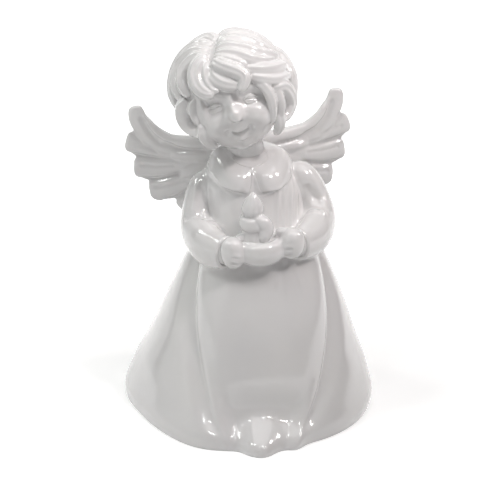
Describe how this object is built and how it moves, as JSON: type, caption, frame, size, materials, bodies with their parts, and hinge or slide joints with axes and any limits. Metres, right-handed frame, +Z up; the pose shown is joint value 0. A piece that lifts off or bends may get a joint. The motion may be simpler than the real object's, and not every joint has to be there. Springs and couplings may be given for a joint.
{
  "type": "angel figurine",
  "caption": "Glazed porcelain figurine of a curly-haired child angel in a long bell-shaped robe, with spread wings, holding a lit candle on a small dish.",
  "frame": {"origin": "middle of the bounding box in plan, at the foot the figurine stands on", "axes": "+Z up, the figure looks towards -Y, +X to the right for someone who faces the figure"},
  "size_m": [0.0788, 0.0859, 0.1203],
  "materials": {
    "white_glaze": "gloss"
  },
  "bodies": {
    "root": {"robe_shell": "white_glaze", "collar": "white_glaze", "head": "white_glaze", "hair": "white_glaze", "left_wing": "white_glaze", "right_wing": "white_glaze", "left_sleeve": "white_glaze", "right_sleeve": "white_glaze", "left_hand": "white_glaze", "right_hand": "white_glaze", "candle_dish": "white_glaze", "candle": "white_glaze", "flame": "white_glaze"}
  },
  "joints": []
}
